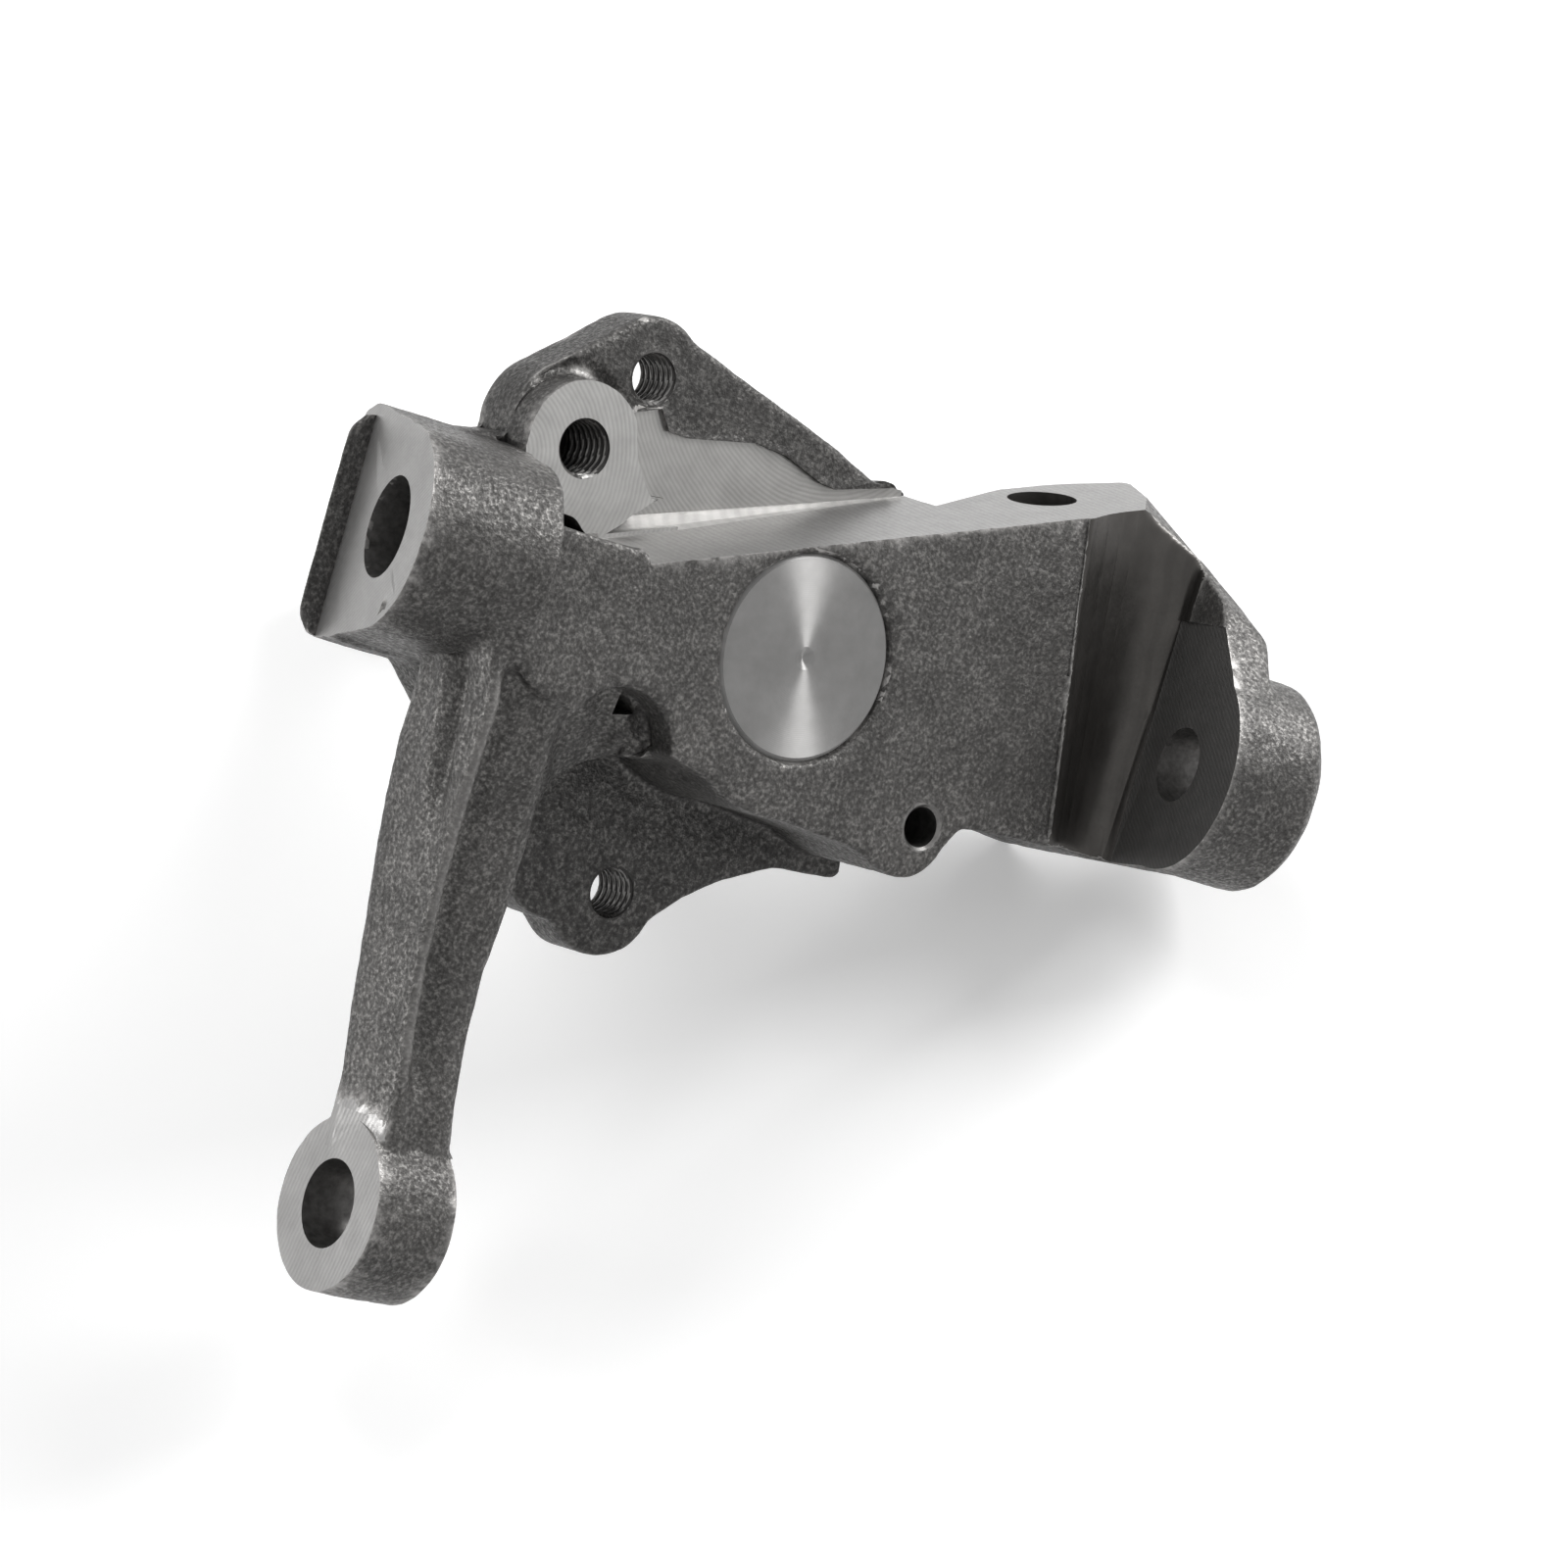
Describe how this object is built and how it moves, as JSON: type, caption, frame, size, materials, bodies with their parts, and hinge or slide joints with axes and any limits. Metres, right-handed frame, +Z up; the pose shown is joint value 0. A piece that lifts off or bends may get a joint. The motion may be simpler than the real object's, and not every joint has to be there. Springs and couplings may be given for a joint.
{
  "type": "steering spindle",
  "caption": "Steering knuckle with a pressed-in wheel pin, two ball joint bosses, a brake flange and an integral steering arm.",
  "frame": {"origin": "on the wheel pin's axis at the shoulder that the inner wheel bearing sits against", "axes": "+Y outboard along the wheel pin, +X forward towards the steering arm, +Z up towards the upper ball joint"},
  "size_m": [0.1844, 0.1893, 0.1884],
  "materials": {
    "forging": "shot-blasted forging with milled faces",
    "turned_pin": "turned"
  },
  "bodies": {
    "root": {"knuckle": "forging", "spindle_pin": "turned_pin"}
  },
  "joints": []
}
